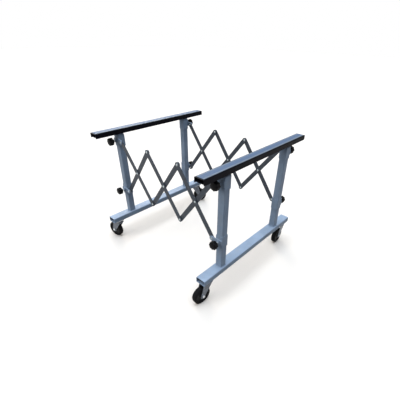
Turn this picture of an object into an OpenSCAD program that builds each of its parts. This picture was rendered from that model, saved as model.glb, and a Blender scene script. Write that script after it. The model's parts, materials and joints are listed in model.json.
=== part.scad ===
// Scissor-extending trestle on castors: two wheeled end frames joined by a front and a rear lattice.
// Millimetres. X runs from the left frame to the right frame, Y from front to rear, Z up from the floor.

/* [Stance] */
// Distance between the post axes of the left and the right frame
frame_spacing = 980; // [600:10:1350]
// Height from the floor to the underside of the base rails
castor_height = 162; // [155:1:200]

/* [Base rails] */
// Length of each base rail
base_rail_length = 990; // [850:10:1200]
// Width of the base rail section
base_rail_width = 70; // [62:1:90]
// Height of the base rail section
base_rail_height = 40; // [30:1:50]
// Wall of the base rail section
base_rail_wall = 2.5; // [2:0.5:4]

/* [Posts] */
// Side of the square post section
post_width = 46; // [32:1:50]
// Wall of the post section
post_wall = 2.5; // [2:0.5:4]
// Length of each post
post_length = 640; // [600:5:780]
// Distance between the front and the rear post axes
post_spacing = 620; // [500:10:700]

/* [Top channels] */
// Length of each top channel
channel_length = 1000; // [850:10:1200]
// Width of the top channel
channel_width = 66; // [58:1:90]
// Height of the top channel without its pad
channel_height = 31; // [24:1:45]
// Wall of the top channel
channel_wall = 3; // [2:0.5:4]
// Depth of the lips that hang below the closed cell of the top channel
channel_lip = 7; // [5:0.5:10]
// Thickness of the pad on the top channel
pad_thickness = 2; // [1.5:0.5:6]

/* [Collars] */
// Height of each collar on its post
collar_height = 80; // [60:1:95]
// Wall of the collar
collar_wall = 2.5; // [2.5:0.5:6]
// Play between the post and the collar on each side
collar_play = 0.5; // [0.5:0.1:2]
// Bare post between the upper collar and the top channel
post_neck = 10; // [5:1:30]
// Thickness of the lug plate on the collar
lug_thickness = 6; // [4:0.5:10]
// Height of the lug plate
lug_height = 32; // [26:1:40]
// Distance from the post axis to the end pivot of the lattice
pivot_inset = 55; // [50:1:75]

/* [Lattice] */
// Distance between the end pivots of one bar
bar_pitch = 482; // [440:1:500]
// Width of each bar
bar_width = 32; // [24:1:36]
// Thickness of each bar
bar_thickness = 6; // [4:0.5:7]
// Diameter of the pivot rivets
pivot_d = 8; // [6:0.5:10]
// Diameter of the rivet heads
rivet_head_d = 15; // [12:0.5:20]

/* [Knobs] */
// Diameter over the lobes of each clamp knob
knob_d = 55; // [44:1:58]
// Height of the lobed head
knob_height = 30; // [15:1:34]
// Distance from the lug plate to the lobed head
knob_reach = 26; // [20:1:40]
// Diameter of the clamp stud
stud_d = 10; // [8:1:12]

/* [Castors] */
// Diameter of each wheel
wheel_d = 125; // [100:1:130]
// Width of the tyre
wheel_width = 34; // [28:1:40]
// Distance from the swivel axis back to the axle
castor_trail = 43; // [30:1:48]
// Distance from the end of the base rail to the swivel axis
castor_inset = 52; // [42:1:80]
// Diameter of the axle
axle_d = 10; // [8:1:12]
// Direction that the left front castor trails in, in degrees from +X
left_front_turn = -169; // [-180:1:180]
// Direction that the left rear castor trails in
left_rear_turn = 30; // [-180:1:180]
// Direction that the right front castor trails in
right_front_turn = -96; // [-180:1:180]
// Direction that the right rear castor trails in
right_rear_turn = -86; // [-180:1:180]

/* [Hidden] */
$fn = 64;

// Names and signs of the two frames, the two sides and the two collar levels
END_NAMES = ["left", "right"];
SIDE_NAMES = ["front", "rear"];
LEVEL_NAMES = ["upper", "lower"];
SIGNS = [-1, 1];

// Colours of the finishes
post_paint = "#6c7a86";
rail_paint = "#8fa3bd";
channel_paint = "#1a1b21";
pad_colour = "#5f6f8c";
bar_zinc = "#575c5d";
bright_zinc = "#a9adb0";
knob_black = "#141416";
tyre_black = "#18181a";

// Overrun of every cut past the face that it opens
overrun = 1;
// Radial play of a pin, stud or bolt in its hole
pin_play = 0.05;
// Radial play of the two lattice pivots that close the linkage
open_play = 0.5;
// Gap between two faces that slide or turn past each other
layer_gap = 0.3;

// Corner radii of the sections
rail_radius = 5;
post_radius = 4;
collar_radius = 3;
channel_radius = 4;

// Border of the channel that shows round the pad
pad_margin = 7;

// Rivet heads, and the spacer between a lug plate and an up bar
rivet_head_height = 3;
rivet_crown_share = 0.6;
spacer_d = 18;

// Weld nut on the lug plate
weld_nut_width = 19;
weld_nut_height = 9;

// Lobed knob
knob_lobes = 8;
knob_lobe_share = 0.42;
knob_boss_d = 24;
knob_boss_height = 8;
knob_crown_height = 3;
knob_crown_share = 0.55;

// Castor plate and its bolts
plate_thickness = 4;
plate_length = 76;
plate_margin = 5;
plate_radius = 8;
bolt_d = 8;
bolt_edge = 12;
bolt_spacing_y = 58;
bolt_head_width = 13;
bolt_head_height = 5;
bolt_nut_height = 6.5;
bolt_tail = 2;

// Swivel head and fork
kingpin_d = 12;
kingpin_head_d = 22;
kingpin_head_height = 4;
crown_side_gap = 2;
crown_height = 15;
ball_d = 6;
ball_count = 14;
fork_leg_thickness = 4;
fork_side_gap = 2;
fork_leg_top_width = 70;
fork_leg_lap = 7;
fork_boss_d = 36;
axle_nut_width = 17;
axle_nut_height = 7;

// Wheel section
hub_d = 34;
hub_side_gap = 0.5;
web_width = 18;
tyre_depth = 18;
tyre_round = 8;
tyre_web_lap = 2;

// Heights of the frame
base_top = castor_height + base_rail_height;
post_top = base_top + post_length;
channel_bottom = post_top - channel_lip;
channel_top = channel_bottom + channel_height;
upper_pivot_z = channel_bottom - post_neck - collar_height / 2;

// Places across the frame
frame_x = frame_spacing / 2;
castor_y = base_rail_length / 2 - castor_inset;

// Rest shape of the lattice: three units between the left and the right end pivots
UNITS = 3;
unit_pitch = (frame_spacing - 2 * pivot_inset) / UNITS;
lattice_angle = acos(unit_pitch / bar_pitch);
lower_pivot_z = upper_pivot_z - bar_pitch * sin(lattice_angle);
first_pivot_x = pivot_inset - frame_x;

// Layers outward from the post axis: up bars, down bars, lug plates
collar_half = post_width / 2 + collar_play + collar_wall;
lug_outer = collar_half + lug_thickness;
down_outer = collar_half - layer_gap;
down_inner = down_outer - bar_thickness;
up_outer = down_inner - layer_gap;
up_inner = up_outer - bar_thickness;
knob_base = lug_outer + knob_reach;

// Levels of the castor
plate_bottom = castor_height - plate_thickness;
ball_z = plate_bottom - pin_play - ball_d / 2;
crown_top = ball_z;
crown_bottom = crown_top - crown_height;
kingpin_end = crown_bottom - layer_gap - kingpin_head_height;
axle_z = wheel_d / 2;
leg_inner = wheel_width / 2 + fork_side_gap;
leg_outer = leg_inner + fork_leg_thickness;
bolt_spacing_x = base_rail_width - 2 * bolt_edge;
crown_d = norm([bolt_spacing_x, bolt_spacing_y]) - hex_corners(bolt_head_width) - 2 * crown_side_gap;
race_d = (crown_d + kingpin_d) / 2;
leg_top = crown_bottom + fork_leg_lap;

// Trail directions, by frame and then by side
TURNS = [[left_front_turn, left_rear_turn], [right_front_turn, right_rear_turn]];

// Height of a collar's centre by its level
function level_z(level) = level == 0 ? upper_pivot_z : lower_pivot_z;

// X of the lattice's pivot column, counted from the left end
function column_x(index) = first_pivot_x + index * unit_pitch;

// Distance across the corners of a hexagon from its distance across the flats
function hex_corners(across_flats) = across_flats / cos(30);

// Rectangle about the origin with rounded corners
module rounded_rect(width, height, radius) {
  square([width - 2 * radius, height], center = true);
  square([width, height - 2 * radius], center = true);
  for (sx = SIGNS, sy = SIGNS)
    translate([sx * (width / 2 - radius), sy * (height / 2 - radius)])
      circle(radius);
}

// Rectangular tube along Z, centred on the origin
module box_tube(width, height, wall, length, radius) {
  difference() {
    linear_extrude(length, center = true)
      rounded_rect(width, height, radius);
    linear_extrude(length + 2 * overrun, center = true)
      rounded_rect(width - 2 * wall, height - 2 * wall, max(radius - wall, wall / 2));
  }
}

// Places children on a side face: local X stays X, local Y is height, local Z points outward
module side_face(side) {
  mirror([0, side, 0])
    translate([0, -post_spacing / 2, 0])
      rotate([90, 0, 0])
        children();
}

// Repeats children on the front and the rear side
module both_sides() {
  for (side = [0, 1])
    side_face(side)
      children();
}

// Places children at a castor's swivel axis on the floor
module castor_place(end, side) {
  translate([SIGNS[end] * frame_x, SIGNS[side] * castor_y, 0])
    children();
}

// Places children at the four bolts of a castor plate
module bolt_places() {
  for (sx = SIGNS, sy = SIGNS)
    translate([sx * bolt_spacing_x / 2, sy * bolt_spacing_y / 2, 0])
      children();
}

// Rectangular base rail with open ends, drilled for the castor bolts
module base_rail(end) {
  color(rail_paint)
    difference() {
      translate([SIGNS[end] * frame_x, 0, castor_height + base_rail_height / 2])
        rotate([90, 0, 0])
          box_tube(base_rail_width, base_rail_height, base_rail_wall, base_rail_length, rail_radius);
      for (side = [0, 1])
        castor_place(end, side)
          bolt_places()
            translate([0, 0, castor_height - overrun])
              cylinder(d = bolt_d + 2 * pin_play, h = base_rail_wall + 2 * overrun);
    }
}

// Square post that stands on the base rail and carries the top channel
module post(end, side) {
  color(post_paint)
    translate([SIGNS[end] * frame_x, SIGNS[side] * post_spacing / 2, base_top + post_length / 2])
      box_tube(post_width, post_width, post_wall, post_length, post_radius);
}

// Section of the top channel: a closed cell with rounded upper corners, and a lip down each side
module channel_section() {
  inner_width = channel_width - 2 * channel_wall;
  cell_bottom = channel_lip + channel_wall;
  difference() {
    union() {
      translate([0, channel_height / 2])
        rounded_rect(channel_width, channel_height, channel_radius);
      translate([-channel_width / 2, 0])
        square([channel_width, channel_height / 2]);
    }
    translate([-inner_width / 2, -overrun])
      square([inner_width, channel_lip + overrun]);
    translate([-inner_width / 2, cell_bottom])
      square([inner_width, channel_height - channel_wall - cell_bottom]);
  }
}

// Channel that lies on the tops of the posts, with its lips down past them
module top_channel(end) {
  color(channel_paint)
    translate([SIGNS[end] * frame_x, 0, channel_bottom])
      rotate([90, 0, 0])
        linear_extrude(channel_length, center = true)
          channel_section();
}

// Flat pad along the top of the channel
module top_pad(end) {
  color(pad_colour)
    translate([SIGNS[end] * frame_x, 0, channel_top])
      linear_extrude(pad_thickness)
        square([channel_width - 2 * pad_margin, channel_length - 2 * pad_margin], center = true);
}

// Outline of the lug plate, from the collar's far edge to past the pivot
module lug_outline() {
  translate([-collar_half, -lug_height / 2])
    square([collar_half + pivot_inset, lug_height]);
  translate([pivot_inset, 0])
    circle(d = lug_height);
}

// Collar with its welded lug plate and nut, in the side face's frame, reaching towards +X
module collar() {
  difference() {
    union() {
      rotate([90, 0, 0])
        box_tube(2 * collar_half, 2 * collar_half, collar_wall, collar_height, collar_radius);
      translate([0, 0, collar_half])
        linear_extrude(lug_thickness)
          lug_outline();
      translate([0, 0, lug_outer])
        cylinder(d = hex_corners(weld_nut_width), h = weld_nut_height, $fn = 6);
    }
    translate([0, 0, post_width / 2])
      cylinder(d = stud_d + 2 * pin_play, h = lug_outer + weld_nut_height);
    translate([pivot_inset, 0, collar_half - overrun])
      cylinder(d = pivot_d + 2 * pin_play, h = lug_thickness + 2 * overrun);
  }
}

// Front and rear collars of one frame at one level
module collars(end, level) {
  color(post_paint)
    both_sides()
      translate([SIGNS[end] * frame_x, level_z(level), 0])
        mirror([end, 0, 0])
          collar();
}

// Rivet head, flat side down at the origin
module rivet_head() {
  cylinder(d = rivet_head_d, h = rivet_head_height / 2);
  translate([0, 0, rivet_head_height / 2])
    cylinder(d1 = rivet_head_d, d2 = rivet_head_d * rivet_crown_share, h = rivet_head_height / 2);
}

// Rivet along Z with a head outside each of two levels
module headed_pin(low, high) {
  translate([0, 0, low])
    cylinder(d = pivot_d, h = high - low);
  translate([0, 0, high])
    rivet_head();
  translate([0, 0, low])
    mirror([0, 0, 1])
      rivet_head();
}

// End pivots of one frame at one level: a down bar lies against its lug, an up bar behind a spacer
module end_pins(end, level) {
  holds_down_bar = end == level;
  bar_inner = holds_down_bar ? down_inner : up_inner;
  spacer_inner = up_outer + layer_gap;
  color(bright_zinc)
    both_sides()
      translate([SIGNS[end] * (frame_x - pivot_inset), level_z(level), 0]) {
        headed_pin(bar_inner - layer_gap, lug_outer);
        if (!holds_down_bar)
          translate([0, 0, spacer_inner])
            cylinder(d = spacer_d, h = collar_half - spacer_inner);
      }
}

// Rivets that stay with one up bar: its crossing, and each of its ends that meets a down bar
module lattice_rivets(unit) {
  shares = [
    if (unit > 1) 0,
    1 / 2,
    if (unit < UNITS) 1
  ];
  color(bright_zinc)
    both_sides()
      for (share = shares)
        translate([
          column_x(unit - 1 + share),
          lower_pivot_z + share * (upper_pivot_z - lower_pivot_z),
          0
        ])
          headed_pin(up_inner, down_outer + layer_gap);
}

// Flat bar with round ends and three pivot holes, from its first pivot along X
module flat_bar(centre_play) {
  linear_extrude(bar_thickness)
    difference() {
      union() {
        translate([0, -bar_width / 2])
          square([bar_pitch, bar_width]);
        for (x = [0, bar_pitch])
          translate([x, 0])
            circle(d = bar_width);
      }
      for (x = [0, bar_pitch])
        translate([x, 0])
          circle(d = pivot_d + 2 * pin_play);
      translate([bar_pitch / 2, 0])
        circle(d = pivot_d + 2 * centre_play);
    }
}

// Bar that runs down from the upper pivots, in the layer next to the lug plates
module down_bar(side, unit) {
  color(bar_zinc)
    side_face(side)
      translate([column_x(unit - 1), upper_pivot_z, down_inner])
        rotate(-lattice_angle)
          flat_bar(unit == 1 ? pin_play : open_play);
}

// Bar that runs up from the lower pivots, in the inner layer
module up_bar(side, unit) {
  color(bar_zinc)
    side_face(side)
      translate([column_x(unit - 1), lower_pivot_z, up_inner])
        rotate(lattice_angle)
          flat_bar(pin_play);
}

// Lobed outline of the knob
module knob_outline() {
  lobe_d = knob_d * knob_lobe_share;
  lobe_radius = (knob_d - lobe_d) / 2;
  circle(lobe_radius);
  for (i = [0 : knob_lobes - 1])
    rotate(i * 360 / knob_lobes)
      translate([lobe_radius, 0])
        circle(d = lobe_d);
}

// Clamp knob with its stud, which ends just short of the post
module knob(end, side, level) {
  stud_end = post_width / 2 + layer_gap;
  color(knob_black)
    side_face(side)
      translate([SIGNS[end] * frame_x, level_z(level), 0]) {
        translate([0, 0, stud_end])
          cylinder(d = stud_d, h = knob_base - stud_end);
        translate([0, 0, knob_base - knob_boss_height])
          cylinder(d = knob_boss_d, h = knob_boss_height);
        translate([0, 0, knob_base])
          linear_extrude(knob_height)
            knob_outline();
        translate([0, 0, knob_base + knob_height])
          cylinder(
            d1 = knob_d * (1 - knob_lobe_share),
            d2 = knob_d * (1 - knob_lobe_share) * knob_crown_share,
            h = knob_crown_height
          );
      }
}

// Castor plates of one frame, each with the kingpin that its fork turns on
module castor_plates(end) {
  color(bright_zinc)
    for (side = [0, 1])
      castor_place(end, side) {
        translate([0, 0, plate_bottom])
          difference() {
            linear_extrude(plate_thickness)
              rounded_rect(base_rail_width - 2 * plate_margin, plate_length, plate_radius);
            bolt_places()
              translate([0, 0, -overrun])
                cylinder(d = bolt_d + 2 * pin_play, h = plate_thickness + 2 * overrun);
          }
        translate([0, 0, kingpin_end])
          cylinder(d = kingpin_d, h = plate_bottom - kingpin_end);
        translate([0, 0, kingpin_end])
          cylinder(d = kingpin_head_d, h = kingpin_head_height);
      }
}

// Bolt through the castor plate and the rail's lower wall, with its nut inside the rail
module castor_bolt() {
  nut_bottom = castor_height + base_rail_wall;
  head_bottom = plate_bottom - bolt_head_height;
  translate([0, 0, head_bottom])
    cylinder(d = hex_corners(bolt_head_width), h = bolt_head_height, $fn = 6);
  translate([0, 0, plate_bottom])
    cylinder(d = bolt_d, h = nut_bottom + bolt_nut_height + bolt_tail - plate_bottom);
  translate([0, 0, nut_bottom])
    cylinder(d = hex_corners(bolt_head_width), h = bolt_nut_height, $fn = 6);
}

// Bolts of both castors of one frame
module castor_bolts(end) {
  color(bright_zinc)
    for (side = [0, 1])
      castor_place(end, side)
        bolt_places()
          castor_bolt();
}

// Balls of both swivel heads of one frame, in the race under each castor plate
module swivel_balls(end) {
  color(bright_zinc)
    for (side = [0, 1])
      castor_place(end, side)
        for (i = [0 : ball_count - 1])
          rotate(i * 360 / ball_count)
            translate([race_d / 2, 0, ball_z])
              sphere(d = ball_d);
}

// Outline of a fork leg: wide at the crown, tapering to the round boss at the axle
module fork_leg_outline() {
  polygon([
    [-fork_leg_top_width / 2, leg_top],
    [fork_leg_top_width / 2, leg_top],
    [castor_trail + fork_boss_d / 2, axle_z],
    [castor_trail - fork_boss_d / 2, axle_z]
  ]);
  translate([castor_trail, axle_z])
    circle(d = fork_boss_d);
}

// Swivel fork: a round crown grooved for the balls, on a bridge with two legs beside the wheel
module fork(end, side) {
  color(bar_zinc)
    castor_place(end, side)
      rotate(TURNS[end][side])
        difference() {
          union() {
            translate([0, 0, crown_bottom])
              cylinder(d = crown_d, h = crown_height);
            translate([0, 0, leg_top - fork_leg_thickness])
              linear_extrude(fork_leg_thickness)
                square([fork_leg_top_width, 2 * leg_outer], center = true);
            for (s = SIGNS)
              translate([0, s * (leg_inner + leg_outer) / 2, 0])
                rotate([90, 0, 0])
                  linear_extrude(fork_leg_thickness, center = true)
                    fork_leg_outline();
          }
          translate([0, 0, crown_bottom - overrun])
            cylinder(d = kingpin_d + 2 * pin_play, h = crown_height + 2 * overrun);
          translate([0, 0, ball_z])
            rotate_extrude()
              translate([race_d / 2, 0])
                circle(d = ball_d + 2 * layer_gap);
          translate([castor_trail, 0, axle_z])
            rotate([90, 0, 0])
              cylinder(d = axle_d + 2 * pin_play, h = 2 * (leg_outer + overrun), center = true);
        }
}

// Places children at the axle's centre, with Z along the axle
module axle_place(end, side) {
  castor_place(end, side)
    rotate(TURNS[end][side])
      translate([castor_trail, 0, axle_z])
        rotate([90, 0, 0])
          children();
}

// Axle bolt with its head and nut against the fork legs
module axle(end, side) {
  color(bright_zinc)
    axle_place(end, side) {
      cylinder(d = axle_d, h = 2 * leg_outer, center = true);
      for (s = [0, 1])
        mirror([0, 0, s])
          translate([0, 0, leg_outer])
            cylinder(d = hex_corners(axle_nut_width), h = axle_nut_height, $fn = 6);
    }
}

// Wheel with a hub, a thinner web and a tyre with rounded shoulders
module wheel(end, side) {
  bore = axle_d / 2 + pin_play;
  hub_half = leg_inner - hub_side_gap;
  tyre_inner = wheel_d / 2 - tyre_depth;
  color(tyre_black)
    axle_place(end, side)
      rotate_extrude() {
        translate([bore, -hub_half])
          square([hub_d / 2 - bore, 2 * hub_half]);
        translate([bore, -web_width / 2])
          square([tyre_inner + tyre_web_lap - bore, web_width]);
        translate([(tyre_inner + wheel_d / 2) / 2, 0])
          rounded_rect(tyre_depth, wheel_width, tyre_round);
      }
}

for (end = [0, 1]) {
  frame = END_NAMES[end];
  base_rail(end);
  top_channel(end);
  top_pad(end);
  castor_plates(end);
  castor_bolts(end);
  swivel_balls(end);
  for (level = [0, 1]) {
    stage = str(frame, "_", LEVEL_NAMES[level]);
    collars(end, level);
    end_pins(end, level);
  }
  for (side = [0, 1]) {
    corner = str(frame, "_", SIDE_NAMES[side]);
    post(end, side);
    fork(end, side);
    axle(end, side);
    wheel(end, side);
    for (level = [0, 1])
      knob(end, side, level);
  }
}
for (unit = [1 : UNITS]) {
  lattice_rivets(unit);
  for (side = [0, 1]) {
    lattice = SIDE_NAMES[side];
    down_bar(side, unit);
    up_bar(side, unit);
  }
}
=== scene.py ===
"""Looks of an extending trestle on castors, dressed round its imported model.

Lengths are in metres. X runs from the left frame to the right frame, Y from front to rear, Z up.
"""

import json
import logging
import math
from dataclasses import asdict, dataclass, field, fields, replace
from enum import Enum
from typing import Any, Iterable, Sequence

import bmesh
import bpy
from mathutils import Color, Matrix, Vector


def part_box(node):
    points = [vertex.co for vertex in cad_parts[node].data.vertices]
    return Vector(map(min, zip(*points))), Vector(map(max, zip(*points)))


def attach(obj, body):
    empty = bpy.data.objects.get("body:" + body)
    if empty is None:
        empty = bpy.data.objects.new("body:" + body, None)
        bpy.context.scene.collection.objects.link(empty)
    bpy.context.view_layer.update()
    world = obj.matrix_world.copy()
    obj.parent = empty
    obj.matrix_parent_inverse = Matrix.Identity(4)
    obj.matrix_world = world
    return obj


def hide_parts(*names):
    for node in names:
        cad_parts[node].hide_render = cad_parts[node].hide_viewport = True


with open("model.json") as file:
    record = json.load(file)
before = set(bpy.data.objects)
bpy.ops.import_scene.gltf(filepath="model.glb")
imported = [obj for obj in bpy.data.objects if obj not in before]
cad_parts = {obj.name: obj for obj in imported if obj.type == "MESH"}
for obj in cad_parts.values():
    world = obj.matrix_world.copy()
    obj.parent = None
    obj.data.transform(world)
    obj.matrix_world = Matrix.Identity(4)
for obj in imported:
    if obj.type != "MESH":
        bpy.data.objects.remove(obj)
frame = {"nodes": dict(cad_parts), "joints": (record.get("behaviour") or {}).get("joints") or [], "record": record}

LOG = logging.getLogger("trestle")
EDGE = "edge"
OUTWARD = "outward"
GRAIN = "grain"
UP = Vector((0.0, 0.0, 1.0))
REARWARD = Vector((0.0, 1.0, 0.0))
WHITE = (1.0, 1.0, 1.0, 1.0)
QUARTER_TURN = 90.0
LAYER_GAP = 0.0003
MERGE_REACH = 1e-6
FLAT_ANGLE = math.radians(0.4)
SMOOTH_ANGLE = math.radians(38)

Colour = tuple[float, float, float]
Paint = tuple[float, float, float, float]
Range = tuple[float, float]
Outline = list[tuple[float, float]]
Seat = tuple[Vector, Vector]
Socket = bpy.types.NodeSocket
Mesh = bpy.types.Mesh
Thing = bpy.types.Object


class Place(Enum):
    """A place on the trestle, whose word is used in the names of nodes and bodies."""

    @property
    def word(self) -> str:
        """The place's word."""
        return self.name.lower()


class End(Place):
    """The end frames, by their side along X."""

    LEFT = -1
    RIGHT = 1


class Side(Place):
    """The sides of the trestle, by their side along Y."""

    FRONT = -1
    REAR = 1

    @property
    def outward(self) -> Vector:
        """The direction away from the trestle's middle."""
        return Vector((0.0, self.value, 0.0))

    def outer(self, node: str) -> float:
        """Gives the place along Y of the face that a node turns outward."""
        low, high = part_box(node)
        return low.y if self is Side.FRONT else high.y

    def inner(self, node: str) -> float:
        """Gives the place along Y of the face that a node turns to the trestle's middle."""
        low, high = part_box(node)
        return high.y if self is Side.FRONT else low.y


class Level(Place):
    """The two heights at which the lattices meet the posts."""

    UPPER = 1
    LOWER = -1


class Lean(Place):
    """The two ways that a lattice bar leans, seen from the left frame."""

    DOWN = -1
    UP = 1


class Slot(Enum):
    """The material slots of the part's record."""

    FRAME_PAINT = "frame_paint"
    CHANNEL_PAINT = "channel_paint"
    PAD_STRIP = "pad_strip"
    DULL_ZINC = "dull_zinc"
    BRIGHT_ZINC = "bright_zinc"
    KNOB_BLACK = "knob_black"
    TYRE_BLACK = "tyre_black"


class Grain(Enum):
    """What the fine lines of a finish follow."""

    NONE = "none"
    BAR = "bar"


class Axis(Enum):
    """The axes of the object that a pattern is measured along."""

    X = "X"
    Y = "Y"


def linear(colour: Colour) -> Paint:
    """Turns a colour as it is seen on a screen into a shader's colour, with full alpha."""
    return (*Color(colour).from_srgb_to_scene_linear(), 1.0)


def tinted(colour: Colour, share: float) -> Paint:
    """Makes a tone of a colour, as a shader's colour, by its brightness against the colour's own."""
    return linear(tuple(min(1.0, channel * share) for channel in colour))


@dataclass(frozen=True)
class Pattern:
    """A soft random pattern, and the stretch of its values that a finish uses.

    The scale is in spots per metre before the stretch, and the detail is the number of finer layers.
    """

    scale: float
    detail: float
    low: float = 0.3
    high: float = 0.7
    stretch: tuple[float, float, float] = (1.0, 1.0, 1.0)
    grain: Grain = Grain.NONE


class Graph:
    """A node tree that is filled one call at a time."""

    def __init__(self, tree: bpy.types.NodeTree) -> None:
        """Keeps the tree that the nodes go into."""
        self.tree = tree

    def feed(self, socket: Socket, value: object) -> None:
        """Links a socket to an output, or sets its value.

        Args:
            socket: The socket to fill.
            value: Another node's output, or a plain value.
        """
        if isinstance(value, bpy.types.NodeSocket):
            self.tree.links.new(value, socket)
        else:
            socket.default_value = value

    def node(
        self, kind: str, inputs: dict[str | int, object] | None = None, **settings: object
    ) -> bpy.types.Node:
        """Adds one node.

        Args:
            kind: The node's type name.
            inputs: Values or outputs for its sockets, by name or place.
            **settings: Values for its own properties.

        Returns:
            The new node.
        """
        made = self.tree.nodes.new(kind)
        for name, value in settings.items():
            setattr(made, name, value)
        for name, value in (inputs or {}).items():
            self.feed(made.inputs[name], value)
        return made

    def math(self, operation: str, first: object, second: object = 0.0) -> Socket:
        """Adds one sum and returns its output."""
        return self.node("ShaderNodeMath", {0: first, 1: second}, operation=operation).outputs[0]

    def times(self, first: object, *others: object) -> Socket:
        """Multiplies numbers.

        Args:
            first: The first number.
            *others: The numbers that it is multiplied by, in order.

        Returns:
            Their product.
        """
        product = first
        for other in others:
            product = self.math("MULTIPLY", product, other)
        return product

    def half(self, value: object) -> Socket:
        """Halves a number."""
        return self.math("MULTIPLY", value, 0.5)

    def negative(self, value: object) -> Socket:
        """Turns a number's sign."""
        return self.math("MULTIPLY", value, -1.0)

    def square(self, value: object) -> Socket:
        """Multiplies a number by itself."""
        return self.math("MULTIPLY", value, value)

    def plus(self, first: object, second: object) -> Socket:
        """Adds two numbers."""
        return self.math("ADD", first, second)

    def minus(self, first: object, second: object) -> Socket:
        """Takes the second number from the first."""
        return self.math("SUBTRACT", first, second)

    def size_of(self, value: object) -> Socket:
        """Drops a number's sign."""
        return self.math("ABSOLUTE", value)

    def vector(self, x: object, y: object, z: object) -> Socket:
        """Joins three numbers into a vector."""
        return self.node("ShaderNodeCombineXYZ", {0: x, 1: y, 2: z}).outputs[0]


class Shader(Graph):
    """A material's node tree, with short calls for what the finishes share."""

    # Places of the Mix node's colour sockets, which share their names with its other kinds
    MIX_SHARE = 0
    MIX_FIRST = 6
    MIX_SECOND = 7
    MIX_RESULT = 2

    def __init__(self, name: str) -> None:
        """Starts a material with one surface shader.

        Args:
            name: The material's name.
        """
        self.material = bpy.data.materials.new(name)
        self.material.use_nodes = True
        super().__init__(self.material.node_tree)
        self.surface = self.tree.nodes["Principled BSDF"]

    def set(self, **sockets: object) -> None:
        """Feeds the surface's sockets, named with underscores for spaces."""
        for name, value in sockets.items():
            self.feed(self.surface.inputs[name.replace("_", " ").title().replace("Ior", "IOR")], value)

    def noise(self, pattern: Pattern) -> Socket:
        """Adds a pattern.

        Args:
            pattern: Its scale, and what it follows.

        Returns:
            The pattern's bare values.
        """
        if pattern.grain is Grain.BAR:
            source = self.node("ShaderNodeUVMap", uv_map=GRAIN).outputs["UV"]
        else:
            source = self.node("ShaderNodeTexCoord").outputs["Object"]
        place = self.node("ShaderNodeMapping", {"Vector": source, "Scale": pattern.stretch})
        inputs = {"Vector": place.outputs[0], "Scale": pattern.scale, "Detail": pattern.detail}
        return self.node("ShaderNodeTexNoise", inputs).outputs["Fac"]

    def span(self, value: Socket, low: float, high: float, start: float = 0.0, end: float = 1.0) -> Socket:
        """Maps the stretch from low to high onto start to end, and holds it there outside."""
        inputs = {"Value": value, "From Min": low, "From Max": high, "To Min": start, "To Max": end}
        return self.node("ShaderNodeMapRange", inputs).outputs["Result"]

    def patches(self, pattern: Pattern, start: float = 0.0, end: float = 1.0) -> Socket:
        """Adds a pattern whose used stretch goes from start to end."""
        return self.span(self.noise(pattern), pattern.low, pattern.high, start, end)

    def mix(self, share: object, first: object, second: object) -> Socket:
        """Mixes two colours by a share of the second."""
        inputs = {self.MIX_SHARE: share, self.MIX_FIRST: first, self.MIX_SECOND: second}
        return self.node("ShaderNodeMix", inputs, data_type="RGBA").outputs[self.MIX_RESULT]

    def mottled(self, pattern: Pattern, colour: Colour, tones: Range) -> Socket:
        """Spreads two tones of a colour by a pattern."""
        dark, light = (tinted(colour, tone) for tone in tones)
        return self.mix(self.patches(pattern), dark, light)

    def measured(self, axis: Axis) -> Socket:
        """Reads the place on the object along one axis."""
        place = self.node("ShaderNodeTexCoord").outputs["Object"]
        return self.node("ShaderNodeSeparateXYZ", {0: place}).outputs[axis.value]

    def attribute(self, name: str) -> Socket:
        """Reads a number that the mesh carries."""
        return self.node("ShaderNodeAttribute", attribute_name=name).outputs["Fac"]

    def bump(self, height: Socket, distance: float, strength: float) -> None:
        """Roughens the surface by a pattern."""
        bump = self.node("ShaderNodeBump", {"Height": height, "Distance": distance, "Strength": strength})
        self.set(normal=bump.outputs["Normal"])


@dataclass(frozen=True)
class Finish:
    """A surface finish and the record's slot that it belongs to."""

    name: str
    slot: Slot
    colour: Colour

    def material(self) -> bpy.types.Material:
        """Makes the finish's material once, and finds it again later.

        Returns:
            The material.
        """
        found = bpy.data.materials.get(self.name)
        if found is None:
            shader = Shader(self.name)
            self.fill(shader)
            found = shader.material
        return found

    def fill(self, shader: Shader) -> None:
        """Builds the finish in a new material."""
        raise NotImplementedError


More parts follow.
